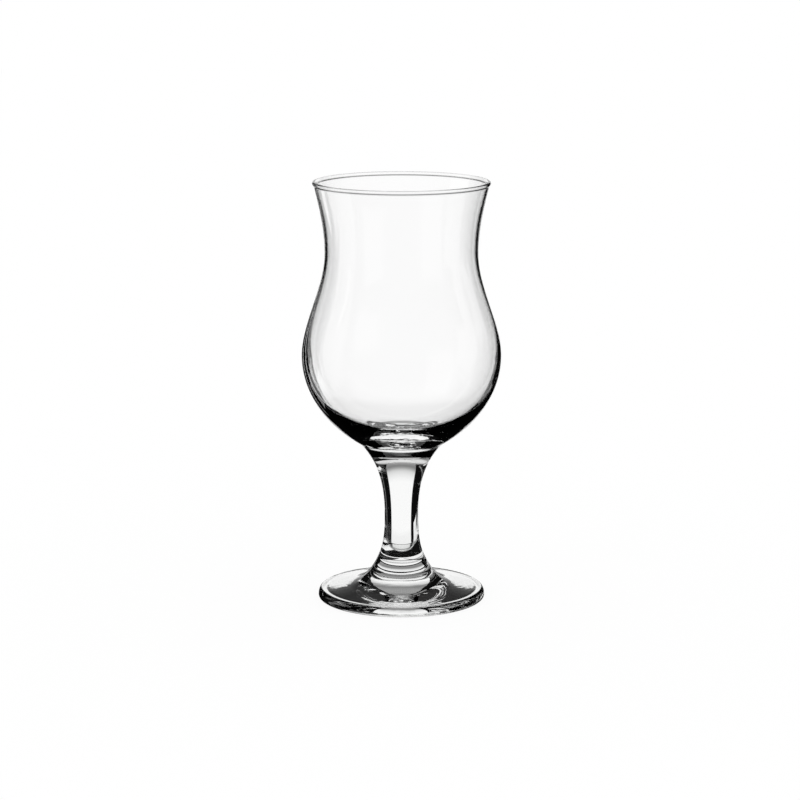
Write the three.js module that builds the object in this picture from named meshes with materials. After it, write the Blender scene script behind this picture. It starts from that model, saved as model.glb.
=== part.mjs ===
import * as THREE from 'three';

// Stemmed glass of clear soda-lime glass: a blown bowl, a pressed stem and a pressed foot, fused end
// to end. Millimetres, +Z up, origin on the table under the axis. Angles are in degrees.

// Foot, measured up from the table
const FOOT_DIAMETER = 69.6;          // across the widest line of the edge
const FOOT_HEIGHT = 20;              // up to the stem seam
const FOOT_TOE_RADIUS = 1;           // rounding from the standing ring up to the widest line
const FOOT_SHOULDER_HEIGHT = 3.9;    // where the edge has turned over into the top slope
const FOOT_SHOULDER_INSET = 2.2;     // from the widest line in to that shoulder
const FOOT_SLOPE = 10;               // fall of the top, below level
const FLARE_FOOT_DIAMETER = 46;      // where the stem's flare has run out into the top slope
const KICK_DIAMETER = 55;            // hollow underneath, inside the standing ring
const KICK_DEPTH = 0.5;              // at the axis
const KICK_STEEPNESS = 2;            // where the hollow meets the standing ring, below level

// Stem, measured up from the foot seam
const STEM_LENGTH = 45.6;            // seam to seam
const STEM_WAIST_DIAMETER = 14;      // narrowest
const STEM_WAIST_HEIGHT = 13.2;
const FOOT_SEAM_DIAMETER = 17.3;     // stem and foot meet here
const FOOT_SEAM_STEEPNESS = 70;      // of the side there, above level

// Bowl, measured up from the bowl seam
const BOWL_HEIGHT = 109.4;           // to the top of the rim
const BOWL_SEAM_DIAMETER = 34.4;     // bowl and stem meet here in a crease
const BOWL_SEAM_STEEPNESS = 31;      // of the bowl's underside at the crease, above level
const STEM_CREASE_STEEPNESS = 48.5;  // of the stem's side at the crease, above level
const BELLY_DIAMETER = 82.6;
const BELLY_HEIGHT = 37.2;
const WAIST_DIAMETER = 63.5;
const WAIST_HEIGHT = 79.9;
const MOUTH_DIAMETER = 73.2;         // over the rim bead
const MOUTH_FLARE = 14;              // lean of the wall at the rim, out from upright
const RIM_BEAD_DIAMETER = 1.3;       // fire-polished edge
const RIM_WALL = 1.15;
const WAIST_WALL = 1.25;
const BELLY_WALL = 1.6;
const INSIDE_BELLY_RISE = 1.6;       // widest line of the inside, above that of the outside
const BOTTOM_THICKNESS = 3.2;        // solid glass between the bowl seam and the inside

// How far a curve keeps its direction at each end, as shares of the straight line between its ends
const KICK_HOLD = [0.33, 0.33];
const SHOULDER_HOLD = [0.4, 0.35];
const FLARE_HOLD = [0.32, 0.49];
const STEM_FOOT_HOLD = [0.2, 0.44];
const STEM_TOP_HOLD = [0.35, 0.37];
const UNDERSIDE_HOLD = [0.11, 0.51];
const BODY_HOLD = [0.3, 0.33];
const MOUTH_HOLD = [0.39, 0.34];
const INSIDE_BOTTOM_HOLD = [0.4, 0.41];

// Clear, fire-polished glass
const GLASS_ROUGHNESS = 0.04;
const GLASS_OPACITY = 0.35;

const TURNED_SIDES = 48;
const CURVE_STEPS = 7;

// A point of an outline and its direction of travel there: 0 is outwards, 90 is up.
function station(radius, height, heading) {
  const turn = THREE.MathUtils.degToRad(heading);
  const way = new THREE.Vector2(Math.cos(turn), Math.sin(turn));
  return { point: new THREE.Vector2(radius, height), way };
}

function reversed({ point, way }) {
  return { point, way: way.clone().negate() };
}

// Carries an outline from one station to the next along a smooth curve.
function curveTo(outline, from, to, [holdFrom, holdTo]) {
  const span = from.point.distanceTo(to.point);
  const leave = from.point.clone().addScaledVector(from.way, span * holdFrom);
  const arrive = to.point.clone().addScaledVector(to.way, -span * holdTo);
  outline.bezierCurveTo(leave.x, leave.y, arrive.x, arrive.y, to.point.x, to.point.y);
}

// A piece turned round the Z axis from an outline that starts and ends on it.
function turnedPiece(name, outline, color) {
  const geometry = new THREE.LatheGeometry(outline.getPoints(CURVE_STEPS), TURNED_SIDES);
  geometry.rotateX(Math.PI / 2);
  const glass = new THREE.MeshStandardMaterial({
    color,
    roughness: GLASS_ROUGHNESS,
    metalness: 0,
    transparent: true,
    opacity: GLASS_OPACITY,
  });
  const piece = new THREE.Mesh(geometry, glass);
  piece.name = name;
  return piece;
}

// Hollow underneath, standing ring, rounded edge, top slope, then the flare up to the stem.
function footOutline() {
  const edgeRadius = FOOT_DIAMETER / 2;
  const ringRadius = edgeRadius - FOOT_TOE_RADIUS;
  const shoulderRadius = edgeRadius - FOOT_SHOULDER_INSET;
  const slopeRun = shoulderRadius - FLARE_FOOT_DIAMETER / 2;
  const slopeRise = slopeRun * Math.tan(THREE.MathUtils.degToRad(FOOT_SLOPE));
  const upSlope = 180 - FOOT_SLOPE;
  const kickTop = station(0, KICK_DEPTH, 0);
  const kickEdge = station(KICK_DIAMETER / 2, 0, -KICK_STEEPNESS);
  const widest = station(edgeRadius, FOOT_TOE_RADIUS, 90);
  const shoulder = station(shoulderRadius, FOOT_SHOULDER_HEIGHT, upSlope);
  const flareFoot = station(FLARE_FOOT_DIAMETER / 2, FOOT_SHOULDER_HEIGHT + slopeRise, upSlope);
  const seam = station(FOOT_SEAM_DIAMETER / 2, FOOT_HEIGHT, 180 - FOOT_SEAM_STEEPNESS);
  const outline = new THREE.Path().moveTo(0, KICK_DEPTH);
  curveTo(outline, kickTop, kickEdge, KICK_HOLD);
  outline.lineTo(ringRadius, 0);
  outline.absarc(ringRadius, FOOT_TOE_RADIUS, FOOT_TOE_RADIUS, -Math.PI / 2, 0);
  curveTo(outline, widest, shoulder, SHOULDER_HOLD);
  outline.lineTo(flareFoot.point.x, flareFoot.point.y);
  curveTo(outline, flareFoot, seam, FLARE_HOLD);
  outline.lineTo(0, FOOT_HEIGHT);
  return outline;
}

function stemOutline() {
  const footSeam = station(FOOT_SEAM_DIAMETER / 2, 0, 180 - FOOT_SEAM_STEEPNESS);
  const waist = station(STEM_WAIST_DIAMETER / 2, STEM_WAIST_HEIGHT, 90);
  const bowlSeam = station(BOWL_SEAM_DIAMETER / 2, STEM_LENGTH, STEM_CREASE_STEEPNESS);
  const outline = new THREE.Path().moveTo(0, 0);
  outline.lineTo(footSeam.point.x, 0);
  curveTo(outline, footSeam, waist, STEM_FOOT_HOLD);
  curveTo(outline, waist, bowlSeam, STEM_TOP_HOLD);
  outline.lineTo(0, STEM_LENGTH);
  return outline;
}

// Up the outside, round the rim bead, then down the inside at each station's wall thickness.
function bowlOutline() {
  const beadRadius = RIM_BEAD_DIAMETER / 2;
  const beadCentre = new THREE.Vector2(MOUTH_DIAMETER / 2 - beadRadius, BOWL_HEIGHT - beadRadius);
  const wallHeading = 90 - MOUTH_FLARE;
  const neckHalfAngle = THREE.MathUtils.radToDeg(Math.asin(RIM_WALL / RIM_BEAD_DIAMETER));
  const beadStart = wallHeading - 180 + neckHalfAngle;
  const beadEnd = wallHeading + 180 - neckHalfAngle;
  const onBead = (bearing) => {
    const spot = station(beadRadius, 0, bearing).way.multiplyScalar(beadRadius).add(beadCentre);
    return station(spot.x, spot.y, wallHeading);
  };
  const seam = station(BOWL_SEAM_DIAMETER / 2, 0, BOWL_SEAM_STEEPNESS);
  const belly = station(BELLY_DIAMETER / 2, BELLY_HEIGHT, 90);
  const waist = station(WAIST_DIAMETER / 2, WAIST_HEIGHT, 90);
  const rimOutside = onBead(beadStart);
  const rimInside = reversed(onBead(beadEnd));
  const waistInside = station(WAIST_DIAMETER / 2 - WAIST_WALL, WAIST_HEIGHT, -90);
  const insideBellyHeight = BELLY_HEIGHT + INSIDE_BELLY_RISE;
  const bellyInside = station(BELLY_DIAMETER / 2 - BELLY_WALL, insideBellyHeight, -90);
  const bottomInside = station(0, BOTTOM_THICKNESS, 180);
  const outline = new THREE.Path().moveTo(0, 0);
  outline.lineTo(seam.point.x, 0);
  curveTo(outline, seam, belly, UNDERSIDE_HOLD);
  curveTo(outline, belly, waist, BODY_HOLD);
  curveTo(outline, waist, rimOutside, MOUTH_HOLD);
  outline.absarc(
    beadCentre.x,
    beadCentre.y,
    beadRadius,
    THREE.MathUtils.degToRad(beadStart),
    THREE.MathUtils.degToRad(beadEnd),
  );
  curveTo(outline, rimInside, waistInside, MOUTH_HOLD.toReversed());
  curveTo(outline, waistInside, bellyInside, BODY_HOLD.toReversed());
  curveTo(outline, bellyInside, bottomInside, INSIDE_BOTTOM_HOLD);
  return outline;
}

// Each piece stands on the seam of the one below it.
const foot = turnedPiece('foot', footOutline(), 0xeef3f1);
const stem = turnedPiece('stem', stemOutline(), 0xf1f5f4);
const bowl = turnedPiece('bowl', bowlOutline(), 0xf6f9f8);

const onFootSeam = new THREE.Group();
onFootSeam.position.z = FOOT_HEIGHT;
const onBowlSeam = new THREE.Group();
onBowlSeam.position.z = STEM_LENGTH;
onBowlSeam.add(bowl);
onFootSeam.add(stem, onBowlSeam);

const stemmedGlass = new THREE.Group();
stemmedGlass.name = 'stemmed_glass';
stemmedGlass.add(foot, onFootSeam);

export default stemmedGlass;
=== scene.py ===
import math

import bmesh
import bpy
from mathutils import Matrix, Vector
from mathutils.geometry import interpolate_bezier


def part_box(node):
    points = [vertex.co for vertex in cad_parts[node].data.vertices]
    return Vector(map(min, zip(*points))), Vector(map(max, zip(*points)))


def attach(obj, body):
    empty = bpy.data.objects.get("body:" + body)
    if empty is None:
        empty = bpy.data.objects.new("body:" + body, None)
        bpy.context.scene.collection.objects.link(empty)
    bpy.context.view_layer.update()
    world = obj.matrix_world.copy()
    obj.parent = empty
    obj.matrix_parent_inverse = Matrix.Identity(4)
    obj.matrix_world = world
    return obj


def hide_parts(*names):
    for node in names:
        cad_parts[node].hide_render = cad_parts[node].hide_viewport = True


# Stemmed glass of clear soda-lime glass: a blown bowl, a pressed stem and a pressed foot, fused end to
# end. Sizes are in metres and angles in degrees.

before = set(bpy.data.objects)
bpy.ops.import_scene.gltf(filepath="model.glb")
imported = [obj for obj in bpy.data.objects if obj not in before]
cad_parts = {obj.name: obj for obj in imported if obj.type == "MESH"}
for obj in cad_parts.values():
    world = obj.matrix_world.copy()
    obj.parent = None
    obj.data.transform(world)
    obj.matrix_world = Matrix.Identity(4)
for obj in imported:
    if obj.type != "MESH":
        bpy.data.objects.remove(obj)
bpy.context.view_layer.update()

MM = 0.001

# Sizes that the frame gives
foot_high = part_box("foot")[1]
stem_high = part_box("stem")[1]
bowl_low, bowl_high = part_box("bowl")
FOOT_RADIUS = foot_high[0]
FOOT_SEAM_HEIGHT = foot_high[2]
BOWL_SEAM_HEIGHT = bowl_low[2]
BOWL_SEAM_RADIUS = stem_high[0]
BELLY_RADIUS = bowl_high[0]
RIM_HEIGHT = bowl_high[2]

# Foot. Its top slopes down towards the shoulder of the edge, as far as a low groove and lip there,
# which catch a thin line of light.
FOOT_TOE_RADIUS = 1 * MM
FOOT_SHOULDER_HEIGHT = 3.9 * MM
FOOT_SHOULDER_INSET = 2.2 * MM
FOOT_SLOPE = 10
LIP_INSET = 1.7 * MM
LIP_HEIGHT = 4.04 * MM
GROOVE_INSET = 3.1 * MM
GROOVE_HEIGHT = 3.97 * MM
SLOPE_INSET = 4.6 * MM
FLARE_FOOT_RADIUS = 23 * MM
KICK_RADIUS = 27.5 * MM
KICK_DEPTH = 0.5 * MM
KICK_STEEPNESS = 2

# Stem
FOOT_SEAM_RADIUS = 8.65 * MM
FOOT_SEAM_STEEPNESS = 70
STEM_WAIST_RADIUS = 7 * MM
STEM_WAIST_HEIGHT = 33.2 * MM

# Bowl, with its inside a little off centre at the belly
BOWL_SEAM_STEEPNESS = 31
STEM_CREASE_STEEPNESS = 48.5
CREASE_HEADING = (STEM_CREASE_STEEPNESS + BOWL_SEAM_STEEPNESS) / 2
CREASE_HALF_ROUND = 1.2 * MM
BELLY_HEIGHT = 102.8 * MM
WAIST_RADIUS = 31.75 * MM
WAIST_HEIGHT = 145.5 * MM
MOUTH_RADIUS = 36.6 * MM
MOUTH_FLARE = 14
RIM_BEAD_RADIUS = 0.85 * MM
RIM_WALL = 1.05 * MM
WAIST_WALL = 1.25 * MM
BELLY_WALL = 1.6 * MM
INSIDE_BELLY_RISE = 1.6 * MM
INSIDE_BOTTOM_HEIGHT = 68.8 * MM
INSIDE_SHIFT = 0.35 * MM

# How far a curve keeps its direction at each end, as shares of the straight line between its ends
EVEN_HOLD = (0.33, 0.33)
SHOULDER_HOLD = (0.4, 0.35)
FLARE_HOLD = (0.32, 0.49)
STEM_FOOT_HOLD = (0.2, 0.44)
STEM_TOP_HOLD = (0.35, 0.37)
UNDERSIDE_HOLD = (0.11, 0.51)
BODY_HOLD = (0.3, 0.33)
MOUTH_HOLD = (0.39, 0.34)
INSIDE_BOTTOM_HOLD = (0.4, 0.41)
# A quarter round drawn by one curve: 4/3 of tan(22.5 degrees) of its radius, as a share of its chord
QUARTER_HOLD = (0.39, 0.39)

TURNED_STEPS = 192
CURVE_STEPS = 44
ROUND_STEPS = 10
SEAM_GAP = 0.01 * MM
MERGE_DISTANCE = 0.001 * MM


# Outlines

def station(radius, height, heading):
    """A point of an outline and its direction of travel there: 0 is outwards, 90 is up."""
    turn = math.radians(heading)
    return Vector((radius, 0, height)), Vector((math.cos(turn), 0, math.sin(turn)))


def curve(start, end, holds, steps=CURVE_STEPS):
    """The points of a smooth curve from one station to the next, without its first point."""
    (here, leave), (there, arrive) = start, end
    span = (there - here).length
    first_handle = here + leave * span * holds[0]
    last_handle = there - arrive * span * holds[1]
    return interpolate_bezier(here, first_handle, last_handle, there, steps + 1)[1:]


def smoothstep(share):
    share = min(max(share, 0), 1)
    return share * share * (3 - 2 * share)


def settle_inside(bm):
    """Moves the inside of the belly a little to one side, as the bubble settles while it is blown."""
    bm.normal_update()
    for vert in bm.verts:
        faces_axis = vert.normal.x * vert.co.x + vert.normal.y * vert.co.y <= 0
        if faces_axis and vert.co.z > BOWL_SEAM_HEIGHT + SEAM_GAP:
            rise = (vert.co.z - BELLY_HEIGHT) / (WAIST_HEIGHT - BELLY_HEIGHT)
            vert.co.x += INSIDE_SHIFT * (1 - smoothstep(rise))


def turned_piece(name, outline, seam_heights):
    """A closed piece spun round the Z axis from an outline that starts and ends on it.

    Its faces at the seams take its second material, and the others its first.
    """
    bm = bmesh.new()
    points = [bm.verts.new(point) for point in outline]
    edges = [bm.edges.new(pair) for pair in zip(points, points[1:])]
    bmesh.ops.spin(
        bm, geom=points + edges, cent=(0, 0, 0), axis=(0, 0, 1),
        angle=math.tau, steps=TURNED_STEPS, use_merge=True,
    )
    bmesh.ops.remove_doubles(bm, verts=bm.verts, dist=MERGE_DISTANCE)
    bmesh.ops.recalc_face_normals(bm, faces=bm.faces)
    settle_inside(bm)
    for face in bm.faces:
        face.smooth = True
        heights = [vert.co.z for vert in face.verts]
        face.material_index = int(any(
            max(abs(height - seam) for height in heights) < SEAM_GAP for seam in seam_heights
        ))
    for edge in bm.edges:
        edge.smooth = len({face.material_index for face in edge.link_faces}) == 1
    mesh = bpy.data.meshes.new(name)
    bm.to_mesh(mesh)
    bm.free()
    piece = bpy.data.objects.new(name, mesh)
    bpy.context.collection.objects.link(piece)
    return piece


def foot_outline():
    """Hollow underneath, standing ring, rounded edge, top slope, then the flare up to the stem."""
    shoulder_radius = FOOT_RADIUS - FOOT_SHOULDER_INSET
    slope_radius = FOOT_RADIUS - SLOPE_INSET

    def slope_height(radius):
        return FOOT_SHOULDER_HEIGHT + (shoulder_radius - radius) * math.tan(math.radians(FOOT_SLOPE))

    kick_top = station(0, KICK_DEPTH, 0)
    kick_edge = station(KICK_RADIUS, 0, -KICK_STEEPNESS)
    ring_inside = station(KICK_RADIUS, 0, 0)
    ring_outside = station(FOOT_RADIUS - FOOT_TOE_RADIUS, 0, 0)
    widest = station(FOOT_RADIUS, FOOT_TOE_RADIUS, 90)
    lip = station(FOOT_RADIUS - LIP_INSET, LIP_HEIGHT, 180)
    groove = station(FOOT_RADIUS - GROOVE_INSET, GROOVE_HEIGHT, 180)
    slope = station(slope_radius, slope_height(slope_radius), 180 - FOOT_SLOPE)
    flare_foot = station(FLARE_FOOT_RADIUS, slope_height(FLARE_FOOT_RADIUS), 180 - FOOT_SLOPE)
    seam = station(FOOT_SEAM_RADIUS, FOOT_SEAM_HEIGHT - SEAM_GAP / 2, 180 - FOOT_SEAM_STEEPNESS)
    return [
        kick_top[0],
        *curve(kick_top, kick_edge, EVEN_HOLD),
        *curve(ring_inside, ring_outside, EVEN_HOLD, ROUND_STEPS),
        *curve(ring_outside, widest, QUARTER_HOLD, ROUND_STEPS),
        *curve(widest, lip, SHOULDER_HOLD, ROUND_STEPS),
        *curve(lip, groove, EVEN_HOLD, ROUND_STEPS),
        *curve(groove, slope, EVEN_HOLD, ROUND_STEPS),
        *curve(slope, flare_foot, EVEN_HOLD, ROUND_STEPS),
        *curve(flare_foot, seam, FLARE_HOLD),
        Vector((0, 0, FOOT_SEAM_HEIGHT - SEAM_GAP / 2)),
    ]


def crease_end(seam, heading, side):
    """Where the small rounding of the crease under the bowl runs out, below (-1) or above (1) it."""
    chord = station(0, 0, (heading + CREASE_HEADING) / 2)[1]
    return seam[0] + chord * side * CREASE_HALF_ROUND, station(0, 0, heading)[1]


def crease_seam(height):
    """The middle of the crease's rounding, where stem and bowl meet."""
    return station(BOWL_SEAM_RADIUS, height, CREASE_HEADING)


def stem_outline():
    """From the foot seam in to the narrow waist, and out again to the crease under the bowl."""
    low = FOOT_SEAM_HEIGHT + SEAM_GAP / 2
    high = BOWL_SEAM_HEIGHT - SEAM_GAP / 2
    foot_seam = station(FOOT_SEAM_RADIUS, low, 180 - FOOT_SEAM_STEEPNESS)
    waist = station(STEM_WAIST_RADIUS, STEM_WAIST_HEIGHT, 90)
    bowl_seam = crease_seam(high)
    crease_low = crease_end(bowl_seam, STEM_CREASE_STEEPNESS, -1)
    return [
        Vector((0, 0, low)),
        foot_seam[0],
        *curve(foot_seam, waist, STEM_FOOT_HOLD),
        *curve(waist, crease_low, STEM_TOP_HOLD),
        *curve(crease_low, bowl_seam, EVEN_HOLD, ROUND_STEPS),
        Vector((0, 0, high)),
    ]


def bowl_outline():
    """Up the outside, round the rim bead, then down the inside at each station's wall thickness."""
    low = BOWL_SEAM_HEIGHT + SEAM_GAP / 2
    bead_centre = Vector((MOUTH_RADIUS - RIM_BEAD_RADIUS, 0, RIM_HEIGHT - RIM_BEAD_RADIUS))
    wall_heading = 90 - MOUTH_FLARE
    neck_half_angle = math.degrees(math.asin(RIM_WALL / 2 / RIM_BEAD_RADIUS))
    bead_turn = 360 - 2 * neck_half_angle
    bead_start = wall_heading - 180 + neck_half_angle

    def on_bead(share):
        bearing = math.radians(bead_start + bead_turn * share)
        return bead_centre + RIM_BEAD_RADIUS * Vector((math.cos(bearing), 0, math.sin(bearing)))

    wall_way = station(0, 0, wall_heading)[1]
    seam = crease_seam(low)
    crease_high = crease_end(seam, BOWL_SEAM_STEEPNESS, 1)
    belly = station(BELLY_RADIUS, BELLY_HEIGHT, 90)
    waist = station(WAIST_RADIUS, WAIST_HEIGHT, 90)
    rim_outside = on_bead(0), wall_way
    rim_inside = on_bead(1), -wall_way
    waist_inside = station(WAIST_RADIUS - WAIST_WALL, WAIST_HEIGHT, -90)
    belly_inside = station(BELLY_RADIUS - BELLY_WALL, BELLY_HEIGHT + INSIDE_BELLY_RISE, -90)
    bottom_inside = station(0, INSIDE_BOTTOM_HEIGHT, 180)
    bead_steps = 2 * ROUND_STEPS
    return [
        Vector((0, 0, low)),
        seam[0],
        *curve(seam, crease_high, EVEN_HOLD, ROUND_STEPS),
        *curve(crease_high, belly, UNDERSIDE_HOLD),
        *curve(belly, waist, BODY_HOLD),
        *curve(waist, rim_outside, MOUTH_HOLD),
        *[on_bead(step / bead_steps) for step in range(1, bead_steps + 1)],
        *curve(rim_inside, waist_inside, MOUTH_HOLD[::-1]),
        *curve(waist_inside, belly_inside, BODY_HOLD[::-1]),
        *curve(belly_inside, bottom_inside, INSIDE_BOTTOM_HOLD),
    ]


# Materials

def linear(hex_colour):
    """An sRGB hex colour as linear RGBA."""
    channels = [int(hex_colour[i:i + 2], 16) / 255 for i in (1, 3, 5)]
    return (*[c / 12.92 if c <= 0.04045 else ((c + 0.055) / 1.055) ** 2.4 for c in channels], 1)


def add(tree, kind, links=None, values=None, **settings):
    """Adds a node, sets it up, and links its inputs to other nodes' outputs."""
    node = tree.nodes.new(kind)
    for key, value in settings.items():
        setattr(node, key, value)
    for key, value in (values or {}).items():
        node.inputs[key].default_value = value
    for key, output in (links or {}).items():
        tree.links.new(output, node.inputs[key])
    return node


def new_material(name):
    material = bpy.data.materials.new(name)
    material.use_nodes = True
    material.node_tree.nodes.clear()
    return material, material.node_tree


# Soda-lime glass, the common clear glass of tableware
SODA_LIME_IOR = 1.52
# Each face of real glass mirrors 4% of the light, and a bright room sends as much back from all round.
# Little but the paper behind the glass is bright here, so a face mirrors about a fifth of that, and the
# bowl stays as clear as it looks in a bright room. At a glancing angle it mirrors as real glass does.
FACE_MIRROR = "#7C7C7C"
CORD_SIZE = 12 * MM
HAZE_SIZE = 6 * MM
SCUFF_HEIGHT = 0.05 * MM
# Most values of a noise pattern lie between these
NOISE_LOW, NOISE_HIGH = 0.3, 0.7


def soda_lime_glass(name, clear, cords, haze, waves, scuffs):
    """Glass of a clear colour with faint cords, which are streaks of a slightly different melt.

    Haze gives the roughness of the clearest and dullest patches, and scuffs what the standing ring
    adds. Waves of the skin are given as (length, depth, full below, none above).
    """
    material, tree = new_material(name)
    place = add(tree, "ShaderNodeTexCoord")
    axes = add(tree, "ShaderNodeSeparateXYZ", links={"Vector": place.outputs["Object"]})
    streaks = add(
        tree, "ShaderNodeTexNoise", links={"Vector": place.outputs["Object"]},
        values={"Scale": 1 / CORD_SIZE, "Detail": 2, "Distortion": 1.5},
    )
    colour = add(tree, "ShaderNodeValToRGB", links={"Fac": streaks.outputs["Fac"]})
    for stop, hex_colour in zip(colour.color_ramp.elements, (clear, cords)):
        stop.color = linear(hex_colour)
    patches = add(
        tree, "ShaderNodeTexNoise", links={"Vector": place.outputs["Object"]},
        values={"Scale": 1 / HAZE_SIZE, "Detail": 3},
    )
    dullness = add(tree, "ShaderNodeMapRange", links={"Value": patches.outputs["Fac"]}, values={
        "From Min": NOISE_LOW, "From Max": NOISE_HIGH, "To Min": haze[0], "To Max": haze[1],
    })
    ring = add(tree, "ShaderNodeMapRange", links={"Value": axes.outputs["Z"]}, values={
        "From Min": SCUFF_HEIGHT / 2, "From Max": SCUFF_HEIGHT, "To Min": 1, "To Max": 0,
    })
    roughness = add(
        tree, "ShaderNodeMath", operation="MULTIPLY_ADD",
        links={0: ring.outputs["Result"], 2: dullness.outputs["Result"]}, values={1: scuffs},
    )
    skin = {}
    for length, depth, full_height, no_height in waves:
        wave = add(
            tree, "ShaderNodeTexNoise", links={"Vector": place.outputs["Object"]},
            values={"Scale": 1 / length, "Detail": 1, "Distortion": 0.6},
        )
        share = add(
            tree, "ShaderNodeMapRange", interpolation_type="SMOOTHSTEP",
            links={"Value": axes.outputs["Z"]},
            values={"From Min": full_height, "From Max": no_height, "To Min": 1, "To Max": 0},
        )
        height = add(tree, "ShaderNodeMath", operation="MULTIPLY", links={
            0: wave.outputs["Fac"],
            1: share.outputs["Result"],
        })
        bump = add(
            tree, "ShaderNodeBump", links={"Height": height.outputs["Value"], **skin},
            values={"Strength": 1, "Distance": depth},
        )
        skin = {"Normal": bump.outputs["Normal"]}
    glass = add(
        tree, "ShaderNodeBsdfPrincipled",
        links={
            "Base Color": colour.outputs["Color"],
            "Roughness": roughness.outputs["Value"],
            **skin,
        },
        values={
            "IOR": SODA_LIME_IOR,
            "Transmission Weight": 1,
            "Specular Tint": linear(FACE_MIRROR),
        },
    )
    add(tree, "ShaderNodeOutputMaterial", links={"Surface": glass.outputs["BSDF"]})
    return material


def fused_seam():
    """Where two pieces melted into one there is no boundary, so nothing shows."""
    material, tree = new_material("fused_seam")
    clear = add(tree, "ShaderNodeBsdfTransparent")
    add(tree, "ShaderNodeOutputMaterial", links={"Surface": clear.outputs["BSDF"]})
    return material


# The glass

seam_material = fused_seam()
# Blown in a mould and fire-polished: a flame melts the skin smooth, so it is clear and sharp all
# over. The wall keeps long, faint waves. The thick bottom chills last, and its shorter waves curl
# the lights that are seen through it.
blown_glass = soda_lime_glass(
    "blown_soda_lime_glass", clear="#FFFFFF", cords="#FEFEFE", haze=(0, 0.006), scuffs=0,
    waves=(
        (4 * MM, 0.05 * MM, 70 * MM, 80 * MM),
        (16 * MM, 0.02 * MM, 300 * MM, 400 * MM),
    ),
)
# Pressed in a mould and fire-polished: the cold mould leaves the skin of the foot a little wavy and a
# trace duller than the bowl. The ring that it stands on is scuffed by tables.
pressed_glass = soda_lime_glass(
    "pressed_soda_lime_glass", clear="#FCFCFC", cords="#FAFBFA", haze=(0.005, 0.02), scuffs=0.03,
    waves=((5 * MM, 0.04 * MM, 7 * MM, 14 * MM),),
)

seams = (FOOT_SEAM_HEIGHT, BOWL_SEAM_HEIGHT)
for node, outline, glass, slot in (
    ("foot", foot_outline(), pressed_glass, "pressed_glass"),
    ("stem", stem_outline(), pressed_glass, "pressed_glass"),
    ("bowl", bowl_outline(), blown_glass, "blown_glass"),
):
    piece = turned_piece(f"glass_{node}", outline, seams)
    piece.data.materials.append(glass)
    piece.data.materials.append(seam_material)
    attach(piece, "root")
    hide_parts(node)


# Camera

CAMERA_PLACE = Vector((-0.0006, -1.076, 0.2977))
CAMERA_PITCH = 11.244
FOCAL_LENGTH_PX = 2643
IMAGE_PX = 800
SENSOR_MM = 36
CLIP_START, CLIP_END = 0.01, 50

camera_data = bpy.data.cameras.new("camera")
camera_data.sensor_width = SENSOR_MM
camera_data.lens = FOCAL_LENGTH_PX / IMAGE_PX * SENSOR_MM
camera_data.clip_start = CLIP_START
camera_data.clip_end = CLIP_END
camera = bpy.data.objects.new("camera", camera_data)
bpy.context.collection.objects.link(camera)
camera.matrix_world = (
    Matrix.Translation(CAMERA_PLACE) @ Matrix.Rotation(math.radians(90 - CAMERA_PITCH), 4, "X")
)
bpy.context.scene.camera = camera


# Studio

def stage_object(name, bm, material):
    mesh = bpy.data.meshes.new(name)
    bm.to_mesh(mesh)
    bm.free()
    thing = bpy.data.objects.new(name, mesh)
    thing.data.materials.append(material)
    bpy.context.collection.objects.link(thing)
    return thing


def seen_in_glass_only(thing):
    """A part of the set that shows in the glass alone."""
    thing.visible_camera = False
    thing.visible_diffuse = False
    thing.visible_shadow = False


# A sheet of white paper that curves from under the glass, up behind it and over it. Its brightness is
# painted light, a glow with no lamp:
# it is brightest behind the glass and a little below it, dim high up behind it, lighter again overhead,
# and darker in a narrow band steeply below the glass.
SHEET_RADIUS = 3
SHEET_HALF_WIDTH = 6
SHEET_CENTRE_HEIGHT = 0.09
# Painted brightness at these elevations, seen from the glass
SHEET_PAINTED_LIGHT = (
    (-90, 0.95), (-68, 0.9), (-62, 0.3), (-57, 0.35), (-52, 0.86), (-46, 0.95), (-32, 0.92), (-24, 0.92),
    (-20, 1), (3, 1), (6, 0.95), (10, 0.86), (15, 0.72), (18, 0.56), (21, 0.37), (26, 0.23), (32, 0.3),
    (38, 0.34), (46, 0.33), (55, 0.2), (68, 0.25), (80, 0.75), (90, 0.8),
)
SHEET_ANGLE = 205
SHEET_STEPS = 64


def paper_with_painted_light():
    """White paper with painted light: it glows though it is no lamp, and its brightness changes with its
    height.
    """
    material, tree = new_material("white_paper_painted_light")
    place = add(tree, "ShaderNodeTexCoord")
    axes = add(tree, "ShaderNodeSeparateXYZ", links={"Vector": place.outputs["Object"]})
    height = add(tree, "ShaderNodeMapRange", links={"Value": axes.outputs["Z"]}, values={
        "From Min": SHEET_CENTRE_HEIGHT - SHEET_RADIUS,
        "From Max": SHEET_CENTRE_HEIGHT + SHEET_RADIUS,
    })
    fade = add(tree, "ShaderNodeValToRGB", links={"Fac": height.outputs["Result"]})
    ramp = fade.color_ramp
    while len(ramp.elements) < len(SHEET_PAINTED_LIGHT):
        ramp.elements.new(1)
    for stop, (elevation, brightness) in zip(ramp.elements, SHEET_PAINTED_LIGHT):
        stop.position = (1 + math.sin(math.radians(elevation))) / 2
        stop.color = (brightness, brightness, brightness, 1)
    # The paper's uneven brightness is painted light, given off as a glow
    glow = add(tree, "ShaderNodeEmission", links={"Color": fade.outputs["Color"]})
    add(tree, "ShaderNodeOutputMaterial", links={"Surface": glow.outputs["Emission"]})
    return material


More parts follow.
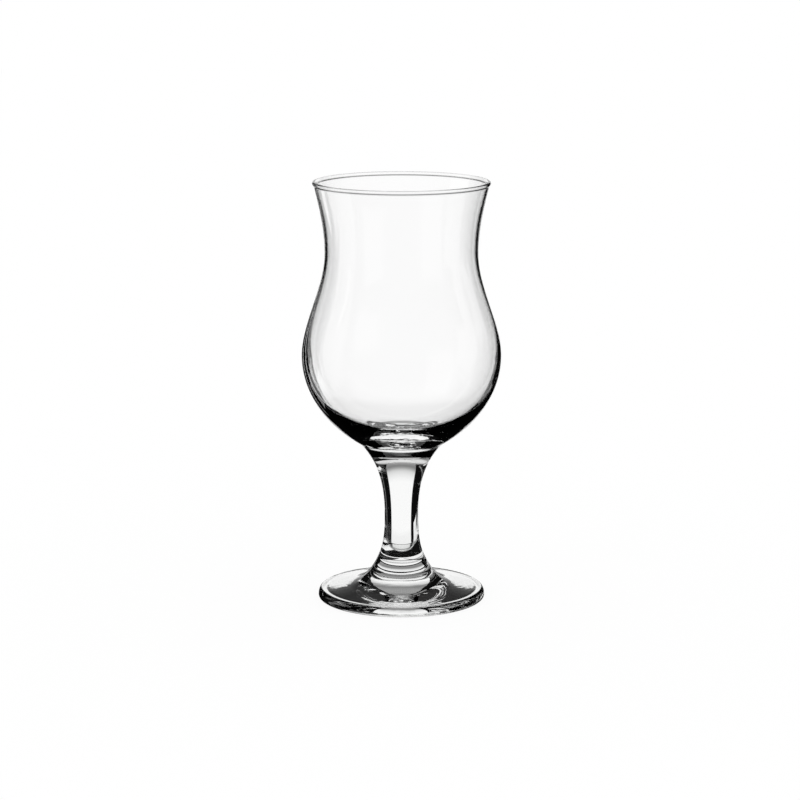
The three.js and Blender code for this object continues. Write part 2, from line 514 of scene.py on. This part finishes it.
bm = bmesh.new()
lowest = SHEET_CENTRE_HEIGHT - SHEET_RADIUS
ends = [bm.verts.new((side * SHEET_HALF_WIDTH, 0, lowest)) for side in (-1, 1)]
bmesh.ops.spin(
    bm, geom=ends + [bm.edges.new(ends)], cent=(0, 0, SHEET_CENTRE_HEIGHT), axis=(1, 0, 0),
    angle=math.radians(SHEET_ANGLE), steps=SHEET_STEPS,
)
sheet = stage_object("paper_sheet", bm, paper_with_painted_light())
seen_in_glass_only(sheet)

# A white table. The glass shows the paper under it in its place. The share is how much of the table's
# brightness the shadow of the glass can take away.
FLOOR_SIZE = 6
SHADOW_SHARE = 0.1


def white_table():
    """Matt white table: white where it is seen, with a faint shadow of the glass."""
    material, tree = new_material("white_table")
    path = add(tree, "ShaderNodeLightPath")
    paint = add(tree, "ShaderNodeBsdfDiffuse", values={"Color": linear("#FFFFFF")})
    glow = add(tree, "ShaderNodeEmission", values={"Color": linear("#FFFFFF"), "Strength": 1})
    share = add(
        tree, "ShaderNodeMath", operation="MULTIPLY",
        links={0: path.outputs["Is Camera Ray"]}, values={1: 1 - SHADOW_SHARE},
    )
    mix = add(tree, "ShaderNodeMixShader", links={
        "Fac": share.outputs["Value"],
        1: paint.outputs["BSDF"],
        2: glow.outputs["Emission"],
    })
    add(tree, "ShaderNodeOutputMaterial", links={"Surface": mix.outputs["Shader"]})
    return material


bm = bmesh.new()
bmesh.ops.create_grid(bm, x_segments=1, y_segments=1, size=FLOOR_SIZE / 2)
floor = stage_object("floor", bm, white_table())
floor.visible_glossy = False
floor.visible_transmission = False

# Black cards that stand upright behind the glass and give it its dark outline, each with its distance
# behind the glass, its reach across and its reach up. The one at the right stands close, and has one dim
# upright stripe, which the stem shows as a thin grey line. At the left a narrow one stands close and
# three stand far back, the middle one raised so that paper shows under it from the front right.
CLOSE = 150 * MM
FAR = 2.4
BLACK_CARDS = (
    ("black_card_right", CLOSE, (73 * MM, 1.57), (-1.4, 1.4)),
    ("black_card_left", CLOSE, (-73 * MM, -105 * MM), (-1.4, 1.4)),
    ("black_card_far_inner", FAR, (-1.17, -1.81), (-1.6, 2.8)),
    ("black_card_far_middle", FAR, (-1.81, -3.18), (-0.82, 2.8)),
    ("black_card_far_outer", FAR, (-3.18, -4.92), (-1.6, 2.8)),
)
STRIPE_START, STRIPE_END = 150 * MM, 215 * MM
STRIPE_BRIGHTNESS = 0.16
CARD_BLACK = 0.004

# White cards that stand far off at the left and at the front right, each with its bearing from straight
# behind the glass and its reach up. The glass shows them when it is seen from the other sides.
WHITE_CARD_HALF_WIDTH = 0.72
WHITE_CARDS = (
    ("white_card_left", 90, (-1.2, 1.05)),
    ("white_card_front_right", 225, (-2.2, 0.6)),
)

# A slanting strip of white paper at each side, which the belly mirrors as a thin light line
STRIP_DISTANCE = 148 * MM
STRIP_CORNERS = (
    (138 * MM, 22 * MM), (166 * MM, 22 * MM), (252 * MM, -110 * MM), (224 * MM, -110 * MM),
)


def white_card():
    """Matt white card, lit evenly."""
    material, tree = new_material("white_card")
    glow = add(tree, "ShaderNodeEmission", values={"Color": linear("#FFFFFF"), "Strength": 1})
    add(tree, "ShaderNodeOutputMaterial", links={"Surface": glow.outputs["Emission"]})
    return material


def black_card():
    """Matt black card, which gives back almost no light, but for its dim stripe."""
    material, tree = new_material("black_card")
    place = add(tree, "ShaderNodeTexCoord")
    axes = add(tree, "ShaderNodeSeparateXYZ", links={"Vector": place.outputs["Object"]})
    aside = add(tree, "ShaderNodeMath", operation="ABSOLUTE", links={0: axes.outputs["X"]})
    from_middle = add(
        tree, "ShaderNodeMath", operation="SUBTRACT",
        links={0: aside.outputs["Value"]}, values={1: (STRIPE_START + STRIPE_END) / 2},
    )
    off = add(tree, "ShaderNodeMath", operation="ABSOLUTE", links={0: from_middle.outputs["Value"]})
    stripe = add(
        tree, "ShaderNodeMapRange", interpolation_type="SMOOTHSTEP",
        links={"Value": off.outputs["Value"]},
        values={
            "From Max": (STRIPE_END - STRIPE_START) / 2,
            "To Min": STRIPE_BRIGHTNESS,
            "To Max": CARD_BLACK,
        },
    )
    glow = add(tree, "ShaderNodeEmission", links={"Strength": stripe.outputs["Result"]})
    add(tree, "ShaderNodeOutputMaterial", links={"Surface": glow.outputs["Emission"]})
    return material


def upright_card(name, corners, distance, material, bearing=0):
    """A flat card from its corners' places across and up, on a bearing turned from straight behind."""
    bm = bmesh.new()
    bm.faces.new([bm.verts.new((across, distance, up)) for across, up in corners])
    turn = Matrix.Rotation(math.radians(bearing), 3, "Z")
    bmesh.ops.rotate(bm, verts=bm.verts, cent=(0, 0, 0), matrix=turn)
    thing = stage_object(name, bm, material)
    seen_in_glass_only(thing)
    return thing


def upright_oblong(across, up):
    """The corners of an upright card, from its reach across and its reach up."""
    start, end = across
    low, high = up
    return (start, low), (end, low), (end, high), (start, high)


black = black_card()
white = white_card()
for name, distance, across, up in BLACK_CARDS:
    upright_card(name, upright_oblong(across, up), distance, black)
for name, bearing, up in WHITE_CARDS:
    across = (-WHITE_CARD_HALF_WIDTH, WHITE_CARD_HALF_WIDTH)
    upright_card(name, upright_oblong(across, up), FAR, white, bearing)
for side, name in ((-1, "left"), (1, "right")):
    corners = [(side * across, up) for across, up in STRIP_CORNERS]
    strip = upright_card(f"strip_{name}", corners, STRIP_DISTANCE, white)
    strip.visible_transmission = False

# A black mat round the foot of the glass, which the outside of the glass mirrors from below
MAT_RADIUS = 150 * MM
MAT_HEIGHT = -0.5 * MM
MAT_SIDES = 96
bm = bmesh.new()
bmesh.ops.create_circle(
    bm, cap_ends=True, segments=MAT_SIDES, radius=MAT_RADIUS,
    matrix=Matrix.Translation((0, 0, MAT_HEIGHT)),
)
mat = stage_object("mat", bm, black)
seen_in_glass_only(mat)
mat.visible_transmission = False

# The room round the set: white to the eye, and almost black in the glass
STUDIO_DARK = 0.006
world = bpy.data.worlds.new("studio")
bpy.context.scene.world = world
world.use_nodes = True
tree = world.node_tree
path = add(tree, "ShaderNodeLightPath")
in_glass = add(tree, "ShaderNodeMath", operation="MAXIMUM", links={
    0: path.outputs["Is Glossy Ray"],
    1: path.outputs["Is Transmission Ray"],
})
level = add(tree, "ShaderNodeMapRange", links={"Value": in_glass.outputs["Value"]}, values={
    "To Min": 1,
    "To Max": STUDIO_DARK,
})
background = tree.nodes["Background"]
background.inputs["Color"].default_value = linear("#FFFFFF")
tree.links.new(level.outputs["Result"], background.inputs["Strength"])

bpy.context.scene.view_settings.view_transform = "Standard"
